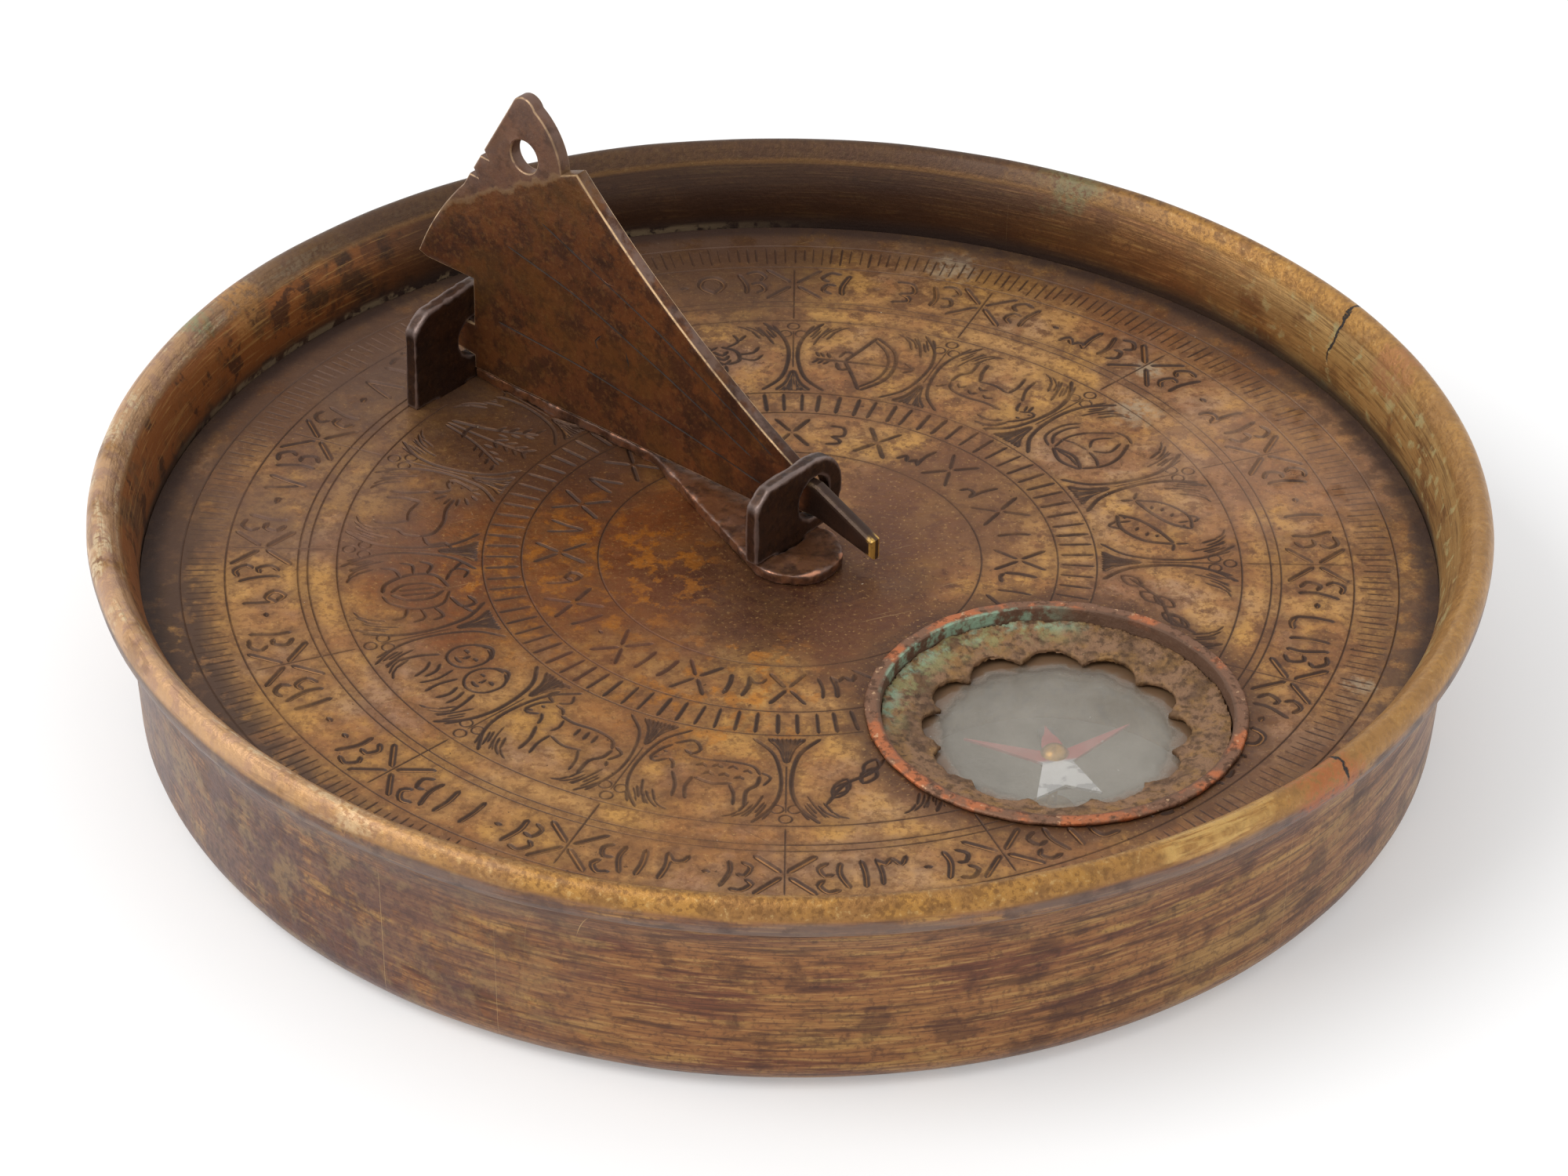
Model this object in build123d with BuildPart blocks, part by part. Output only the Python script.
"""Brass qibla compass: a spun pan with a flared rim, an engraved dial plate,
a folding gnomon between two pierced ears and a small glazed compass well.

Millimetres, +Z up. The origin is the middle of the underside, +X is the
instrument's right and +Y its back when the well lies at the front right.
"""
import os
from math import acos, atan2, cos, degrees, hypot, radians, sin

from build123d import *

# Spun pan
case_radius = 47.45       # outside of the wall where the flare begins
case_taper = 0.5          # how much narrower the foot of the wall is
flare_height = 11.0       # height at which the flare begins
flare_reach = 2.55        # how far the lip stands out past the wall
rim_height = 18.0         # top of the lip
lip_half = 1.0            # half of the rolled lip's thickness
lip_rise = 1.5            # half of its height
lip_start = -90.0         # where the roll leaves the flare, degrees up from outwards
lip_stop = 135.0          # where it runs over into the inside
wall = 1.4                # sheet thickness of wall and floor
base_round = 2.8          # outer corner where wall and floor meet
base_flats = 3            # flats that make up that corner
lip_flats = 5             # flats that make up the roll of the lip
flare_flats = 3           # flats that make up each side of the flare
recess_skin = 0.85        # metal left outside the dial at its ledge

# Dial plate
dial_height = 11.4        # top of the dial plate
dial_thickness = 1.1
dial_clearance = 0.05     # round the edge of the dial

# Compass well
well_x = 18.6
well_y = -18.9
bowl_radius = 12.75       # outside of the cup
bowl_wall = 0.55
bowl_gap = 0.9            # from the cup down to the pan floor
lip_overhang = 0.55       # cup lip turned out over the dial
lip_thickness = 0.4
fit_clearance = 0.05      # round the cup, the sleeve, the glass and the collar
sleeve_wall = 0.8
glass_thickness = 0.6
glass_depth = 1.9         # top of the glass below the dial
collar_sheet = 0.45
collar_drop = 0.6         # outer edge of the collar below the dial
tooth_count = 12
tooth_reach = 4.15        # from the collar's outer edge in to the tooth points
scallop_depth = 1.4       # from the tooth points out to the scallop bottoms

# Needle and its pivot
needle_heading = 100.0    # way the bird on the needle faces, degrees from +X
needle_headroom = 0.3     # cap below the glass
cap_radius = 1.0
cap_dome = 0.6
shank_radius = 0.6
bird_sheet = 0.2
wing_reach = 6.5
wing_sweep = 66.0         # angle between the head and a wing tip, degrees
wing_front = 0.3          # where a wing leaves the body, ahead of the pivot
wing_back = 1.9           # and behind it
body_half = 0.8           # half of the body's width
tail_reach = 5.0
tail_spread = 2.3
tail_notch = 1.2
head_reach = 2.4
beak_reach = 3.3
beak_half = 0.35
magnet_length = 6.6
magnet_width = 1.1
magnet_thickness = 0.6
magnet_eye = 0.45         # ring of steel left round the cap's shank
pivot_radius = 0.35
pivot_point = 0.12
pivot_clearance = 0.15    # between the pivot and the hollow of the cap
pivot_boss = 1.6
pivot_boss_height = 0.8

# Hinge of the gnomon: stations run from the front ear to the back one
hinge_x = 1.3
hinge_y = 2.4
hinge_heading = 140.0     # from the front ear to the back one, degrees from +X
ear_span = 33.5           # between the middles of the two ears
axis_height = 3.75        # pivot line above the dial
ear_thickness = 1.1
ear_gap = 0.45            # between an ear and the blade
ear_wing = 6.4            # how far an ear reaches out to the left of the pivot
front_knuckle = 3.1       # round of the front ear about its hole
rear_knuckle = 4.5
front_shoulder = 1.9      # where the wing's corner starts, above the pivot line
rear_shoulder = 2.9
wing_corner = 1.35        # slanted corner of the wing, sideways
wing_rise = 1.15          # slanted corner of the wing, upwards
corner_round = 0.8
tenon_width = 3.0
tenon_middle = 2.6        # middle of the tenon left of the pivot
tenon_clearance = 0.05
peen_spread = 0.5         # riveted end of a tenon under the dial
peen_height = 0.5

# Foot plate under the front ear
foot_thickness = 0.9
foot_radius = 3.5
foot_front = 1.0          # middle of the round end, ahead of the ear
foot_left = 2.75          # middle of the round end, left of the pivot line
foot_neck = 15.0          # station where the plate has narrowed
tail_left = 0.1           # edges of the narrow tail, from the pivot line
tail_right = 1.7

# Gnomon blade, heights above the pivot line unless named otherwise
blade_thickness = 1.1
blade_gap = 0.4           # lower edge above the foot plate
blade_nose = 2.2          # height of the blade at the front ear
style_rise = 18.25        # upper corner of the long edge
style_sag = 0.95          # hollow of the long edge
style_end = 11.55         # upper corner ahead of the back ear
finial_step = 1.5         # shoulder beside the finial
finial_dip = 0.6
finial_bulge = 0.5
finial_height = 22.65     # tip of the finial
finial_back = 6.4         # tip ahead of the back ear
tip_round = 0.75          # drop of the rounded tip
tip_half = 1.1            # half of its width
hole_radius = 1.3
hole_below_tip = 4.9
notch_width = 1.5
notch_depth = 0.75
notch_start = 1.7         # first filed notch above the neck
notch_pitch = 2.2
neck_height = 13.15       # where the finial meets the sloping back edge
neck_back = 0.2
heel_rise = 0.3           # outer corner of the heel above its low one
heel_reach = 4.6          # how far the blade overhangs the back ear
back_bow = 0.4            # swell of the back edge
overhang_gap = 0.8        # overhang above the round of the back ear
heel_cut = 0.9
tang_height = 2.8
tang_clearance = 0.15
front_tang = 6.4          # reach of the front tang past the middle of its ear
front_tang_drop = 1.9     # its tip is bent down
tip_height = 1.6
rear_tang = 3.4

# Worked-out places
recess_radius = case_radius - recess_skin
dial_radius = recess_radius - dial_clearance
dial_bottom = dial_height - dial_thickness
bowl_bore = bowl_radius - bowl_wall
bowl_bottom = wall + bowl_gap
bowl_floor = bowl_bottom + bowl_wall
glass_top = dial_height - glass_depth
glass_bottom = glass_top - glass_thickness
collar_radius = bowl_bore - fit_clearance
tooth_radius = collar_radius - tooth_reach
scallop_radius = tooth_radius + scallop_depth
cap_top = glass_bottom - needle_headroom
bird_top = cap_top - cap_dome
bird_bottom = bird_top - bird_sheet
magnet_bottom = bird_bottom - magnet_thickness
well = (well_x, well_y)

along = Vector(cos(radians(hinge_heading)), sin(radians(hinge_heading)), 0)
side = Vector(along.Y, -along.X, 0)   # towards the back right, the way it folds
hinge_foot_point = Vector(hinge_x, hinge_y, dial_height)
pivot_height = Vector(0, 0, axis_height)
seat_on_dial = -axis_height
seat_on_foot = foot_thickness - axis_height
ear_half = ear_thickness / 2
tang_half = tang_height / 2
tang_hole = hypot(tang_half, blade_thickness / 2) + tang_clearance

blade_plane = Plane(origin=hinge_foot_point + pivot_height, x_dir=along, z_dir=side)
foot_plane = Plane(origin=hinge_foot_point, x_dir=along, z_dir=(0, 0, 1))


def ear_plane(station):
    """Upright plane across the pivot line; its x runs to the right, y up."""
    origin = hinge_foot_point + pivot_height + along * station
    return Plane(origin=origin, x_dir=side, z_dir=along * -1)


def keep(builder, name):
    builder.part.label = name
    export_step(builder.part, f"parts/{name}.step")


os.makedirs("parts", exist_ok=True)

# The pan: rounded foot, tapered wall, trumpet flare, rolled lip and a ledge for the dial
base_radius = case_radius - case_taper
foot_middle = Vector(base_radius - base_round, base_round)
foot_edge = Vector(0, -base_round)
foot = [foot_middle + foot_edge.rotate(Axis.Z, 90 * n / base_flats) for n in range(base_flats + 1)]
lip_middle = Vector(case_radius + flare_reach - lip_half, rim_height - lip_rise)
lip_turns = [radians(lip_start + (lip_stop - lip_start) * n / lip_flats) for n in range(lip_flats + 1)]
lip = [lip_middle + Vector(lip_half * cos(a), lip_rise * sin(a)) for a in lip_turns]
lip_fall = Vector(-lip_half * sin(lip_turns[-1]), lip_rise * cos(lip_turns[-1]))
ledge_radius = case_radius - wall
with BuildPart() as case_pan:
    with BuildSketch(Plane.XZ):
        with BuildLine():
            shoulder = Vector(case_radius, flare_height)
            recess = (recess_radius, dial_height)
            outside = TangentArc(shoulder, lip[0], tangent=shoulder - foot[-1], mode=Mode.PRIVATE)
            inside = TangentArc(lip[-1], recess, tangent=lip_fall, mode=Mode.PRIVATE)
            Polyline((0, 0), *foot, shoulder)
            Polyline(*[outside @ (n / flare_flats) for n in range(flare_flats + 1)])
            Polyline(*lip)
            Polyline(*[inside @ (n / flare_flats) for n in range(flare_flats + 1)])
            Polyline(
                recess,
                (recess_radius, dial_bottom),
                (ledge_radius, dial_bottom),
                (base_radius - wall, base_round),
                (base_radius - base_round, wall),
                (0, wall),
                (0, 0),
            )
        make_face()
    revolve(axis=Axis.Z)
keep(case_pan, "case_pan")

# The dial plate, pierced for the cup and for the tenons of the two ears
with BuildPart() as dial_plate:
    with BuildSketch(Plane.XY.offset(dial_bottom)):
        Circle(dial_radius)
        with Locations(well):
            Circle(bowl_radius + fit_clearance, mode=Mode.SUBTRACT)
    extrude(amount=dial_thickness)
    for station in (0, ear_span):
        with BuildSketch(ear_plane(station)):
            with Locations((-tenon_middle, seat_on_dial)):
                Rectangle(tenon_width + 2 * tenon_clearance, 3 * dial_thickness)
        extrude(amount=ear_half + tenon_clearance, both=True, mode=Mode.SUBTRACT)
keep(dial_plate, "dial_plate")

# The copper cup, hung in the dial by its turned-out lip
with BuildPart() as compass_bowl:
    with BuildSketch(Plane.XY.offset(bowl_bottom)):
        with Locations(well):
            Circle(bowl_radius)
    extrude(amount=dial_height - bowl_bottom)
    with BuildSketch(Plane.XY.offset(dial_height)):
        with Locations(well):
            Circle(bowl_radius + lip_overhang)
    extrude(amount=lip_thickness)
    lip_edge = compass_bowl.edges().filter_by(GeomType.CIRCLE).group_by(Axis.Z)[-1]
    chamfer(lip_edge, lip_thickness / 3)
    with BuildSketch(Plane.XY.offset(bowl_floor)):
        with Locations(well):
            Circle(bowl_bore)
    extrude(amount=rim_height - bowl_floor, mode=Mode.SUBTRACT)
keep(compass_bowl, "compass_bowl")

# The sleeve inside the cup that carries the glass
with BuildPart() as glass_sleeve:
    with BuildSketch(Plane.XY.offset(bowl_floor)):
        with Locations(well):
            Circle(bowl_bore - fit_clearance)
            Circle(bowl_bore - fit_clearance - sleeve_wall, mode=Mode.SUBTRACT)
    extrude(amount=glass_bottom - bowl_floor)
keep(glass_sleeve, "glass_sleeve")

with BuildPart() as compass_glass:
    with BuildSketch(Plane.XY.offset(glass_bottom)):
        with Locations(well):
            Circle(bowl_bore - fit_clearance)
    extrude(amount=glass_thickness)
keep(compass_glass, "compass_glass")

# The dished collar: a cone of thin sheet, scalloped where it bears on the glass
collar_rim = dial_height - collar_drop
scallop_half = tooth_radius * sin(radians(180 / tooth_count))
scallop_arc = (scallop_half ** 2 + scallop_depth ** 2) / (2 * scallop_depth)
with BuildPart() as glass_collar:
    with BuildSketch(Plane.XZ.offset(-well_y)):
        with BuildLine():
            Polyline(
                (well_x + tooth_radius, glass_top),
                (well_x + tooth_radius, glass_top + collar_sheet),
                (well_x + collar_radius, collar_rim),
                (well_x + collar_radius, collar_rim - collar_sheet),
                close=True,
            )
        make_face()
    revolve(axis=Axis((well_x, well_y, 0), (0, 0, 1)))
    with BuildSketch(Plane.XY.offset(glass_top)):
        with Locations(well):
            with PolarLocations(scallop_radius - scallop_arc, tooth_count):
                Circle(scallop_arc)
    extrude(amount=glass_depth, mode=Mode.SUBTRACT)
keep(glass_collar, "glass_collar")

# The pivot: a tapered pin on a small boss soldered to the floor of the cup
cap_hollow = pivot_radius + pivot_clearance
pivot_top = bird_top + cap_dome / 2 - pivot_clearance
with BuildPart() as needle_pivot:
    with BuildSketch(Plane.XZ.offset(-well_y)):
        with BuildLine():
            Polyline(
                (well_x, bowl_floor),
                (well_x + pivot_boss, bowl_floor),
                (well_x + pivot_boss, bowl_floor + pivot_boss_height / 2),
                (well_x + pivot_radius, bowl_floor + pivot_boss_height),
                (well_x + pivot_radius, magnet_bottom),
                (well_x + pivot_point, pivot_top),
                (well_x, pivot_top),
                close=True,
            )
        make_face()
    revolve(axis=Axis((well_x, well_y, 0), (0, 0, 1)))
keep(needle_pivot, "needle_pivot")

# The needle: a bar magnet under a thin sheet bird, both held by the domed cap
needle_plane = Plane(
    origin=(well_x, well_y, 0),
    x_dir=(cos(radians(needle_heading)), sin(radians(needle_heading)), 0),
    z_dir=(0, 0, 1),
)
with BuildPart() as needle_magnet:
    with BuildSketch(needle_plane.offset(magnet_bottom)):
        Rectangle(magnet_length, magnet_width)
        Circle(shank_radius + magnet_eye)
        Circle(shank_radius + fit_clearance, mode=Mode.SUBTRACT)
    extrude(amount=magnet_thickness)
keep(needle_magnet, "needle_magnet")

wing_tip = Vector(cos(radians(wing_sweep)), sin(radians(wing_sweep))) * wing_reach
with BuildPart() as needle_bird:
    with BuildSketch(needle_plane.offset(bird_bottom)):
        Ellipse(head_reach, body_half)
        with BuildLine():
            Polyline(
                (0, 0),
                (0, beak_half),
                (head_reach - beak_half, beak_half),
                (beak_reach, 0),
                close=True,
            )
        make_face()
        with BuildLine():
            Polyline((wing_front, 0), (wing_front, body_half), wing_tip, (-wing_back, 0), close=True)
        make_face()
        with BuildLine():
            Polyline(
                (0, 0),
                (-wing_front, body_half),
                (-tail_reach, tail_spread),
                (tail_notch - tail_reach, 0),
                close=True,
            )
        make_face()
        mirror(about=Plane.XZ)
        Circle(shank_radius + fit_clearance, mode=Mode.SUBTRACT)
    extrude(amount=bird_sheet)
keep(needle_bird, "needle_bird")

with BuildPart() as needle_cap:
    with BuildSketch(Plane.XZ.offset(-well_y)):
        with BuildLine():
            Polyline(
                (well_x + shank_radius, magnet_bottom),
                (well_x + shank_radius, bird_top),
                (well_x + cap_radius, bird_top),
            )
            TangentArc((well_x, cap_top), (well_x + cap_radius, bird_top), tangent=(1, 0))
            Polyline(
                (well_x, cap_top),
                (well_x, pivot_top + pivot_clearance),
                (well_x + pivot_point + pivot_clearance, pivot_top + pivot_clearance),
                (well_x + cap_hollow, magnet_bottom),
                (well_x + shank_radius, magnet_bottom),
            )
        make_face()
    revolve(axis=Axis((well_x, well_y, 0), (0, 0, 1)))
keep(needle_cap, "needle_cap")

# The foot plate: round under the front ear, drawn out to a tail under the blade
foot_end = ear_span - ear_half - tenon_clearance
foot_middle = Vector(-foot_front, foot_left)
neck_left = Vector(foot_neck, tail_left)
neck_right = Vector(foot_neck, -tail_right)


def touch_point(target, way):
    """Where a straight edge to the target leaves the round end."""
    run = target - foot_middle
    turn = degrees(atan2(run.Y, run.X)) + way * degrees(acos(foot_radius / run.length))
    return foot_middle + Vector(cos(radians(turn)), sin(radians(turn))) * foot_radius


with BuildPart() as hinge_foot:
    with BuildSketch(foot_plane):
        with Locations(foot_middle):
            Circle(foot_radius)
        with BuildLine():
            Polyline(
                foot_middle,
                touch_point(neck_left, 1),
                neck_left,
                (foot_end, tail_left),
                (foot_end, -tail_right),
                neck_right,
                touch_point(neck_right, -1),
                close=True,
            )
        make_face()
    extrude(amount=foot_thickness)
    with BuildSketch(ear_plane(0)):
        with Locations((-tenon_middle, seat_on_dial)):
            Rectangle(tenon_width + 2 * tenon_clearance, 3 * foot_thickness)
    extrude(amount=ear_half + tenon_clearance, both=True, mode=Mode.SUBTRACT)
keep(hinge_foot, "hinge_foot")


def pierced_ear(station, seat, knuckle, shoulder):
    """A wing to the left, a round about the hole, a riveted tenon below."""
    tenon_end = seat_on_dial - dial_thickness
    crown = Vector(0, knuckle)
    with BuildPart() as ear:
        with BuildSketch(ear_plane(station)):
            Circle(knuckle)
            with BuildLine():
                FilletPolyline(
                    (-ear_wing, seat),
                    (-ear_wing, shoulder),
                    (wing_corner - ear_wing, shoulder + wing_rise),
                    crown,
                    radius=corner_round,
                )
                Polyline(crown, (0, seat), (-ear_wing, seat))
            make_face()
            with Locations((0, seat)):
                Rectangle(
                    2 * knuckle, knuckle, align=(Align.CENTER, Align.MAX), mode=Mode.SUBTRACT
                )
            with Locations((-tenon_middle, tenon_end)):
                Rectangle(tenon_width, seat - tenon_end, align=(Align.CENTER, Align.MIN))
            Circle(tang_hole, mode=Mode.SUBTRACT)
        extrude(amount=ear_half, both=True)
        with BuildSketch(ear_plane(station)):
            with Locations((-tenon_middle, tenon_end)):
                Rectangle(
                    tenon_width + 2 * peen_spread, peen_height, align=(Align.CENTER, Align.MAX)
                )
        extrude(amount=ear_half + peen_spread, both=True)
    return ear


front_ear = pierced_ear(0, seat_on_foot, front_knuckle, front_shoulder)
keep(front_ear, "front_ear")
rear_ear = pierced_ear(ear_span, seat_on_dial, rear_knuckle, rear_shoulder)
keep(rear_ear, "rear_ear")

# The gnomon blade: hollow style edge, pierced finial, overhanging heel, two tangs
blade_low = foot_thickness + blade_gap - axis_height
blade_front = ear_half + ear_gap
blade_back = ear_span - ear_half - ear_gap
style_top = Vector(ear_span - style_end, style_rise)
nose = Vector(blade_front, blade_nose)
style_run = style_top - nose
style_middle = (nose + style_top) * 0.5 + Vector(style_run.Y, -style_run.X).normalized() * style_sag
step = style_top + Vector(finial_step, -finial_dip)
tip = Vector(ear_span - finial_back, finial_height)
tip_left = tip + Vector(-tip_half, -tip_round)
tip_right = tip + Vector(tip_half, -tip_round)
finial_side = (step + tip_left) * 0.5 + Vector(-finial_bulge, finial_bulge / 2)
neck = Vector(ear_span - neck_back, neck_height)
overhang_low = rear_knuckle + overhang_gap
heel = Vector(ear_span + heel_reach, overhang_low + heel_rise)
back_run = heel - neck
back_middle = (neck + heel) * 0.5 + Vector(-back_run.Y, back_run.X).normalized() * back_bow
heel_low = Vector(ear_span + heel_reach - heel_cut, overhang_low)
with BuildPart() as gnomon_blade:
    with BuildSketch(blade_plane):
        with BuildLine():
            Polyline((blade_back, overhang_low), (blade_back, blade_low), (blade_front, blade_low), nose)
            ThreePointArc(nose, style_middle, style_top)
            Line(style_top, step)
            ThreePointArc(step, finial_side, tip_left)
            ThreePointArc(tip_left, tip, tip_right)
            Line(tip_right, neck)
            ThreePointArc(neck, back_middle, heel)
            Polyline(heel, heel_low, (blade_back, overhang_low))
        make_face()
        with Locations((tip.X, tip.Y - hole_below_tip)):
            Circle(hole_radius, mode=Mode.SUBTRACT)
        finial_edge = (neck - tip_right).normalized()
        finial_inward = Vector(-finial_edge.Y, finial_edge.X) * -1
        for count in range(2):
            notch = neck - finial_edge * (notch_start + notch_pitch * count)
            with BuildLine():
                Polyline(
                    notch - finial_edge * (notch_width / 2) - finial_inward * notch_depth,
                    notch + finial_edge * (notch_width / 2) - finial_inward * notch_depth,
                    notch + finial_inward * notch_depth,
                    close=True,
                )
            make_face(mode=Mode.SUBTRACT)
        with BuildLine():
            Polyline(
                (blade_front + ear_gap, -tang_half),
                (blade_front + ear_gap, tang_half),
                (-blade_front, tang_half),
                (-front_tang, tip_height / 2 - front_tang_drop),
                (-front_tang, -tip_height / 2 - front_tang_drop),
                (-blade_front, -tang_half),
                close=True,
            )
        make_face()
        with BuildLine():
            Polyline(
                (blade_back - ear_gap, -tang_half),
                (blade_back - ear_gap, tang_half),
                (ear_span + blade_front, tang_half),
                (ear_span + rear_tang, tip_height / 2),
                (ear_span + rear_tang, -tip_height / 2),
                (ear_span + blade_front, -tang_half),
                close=True,
            )
        make_face()
    extrude(amount=blade_thickness / 2, both=True)
keep(gnomon_blade, "gnomon_blade")
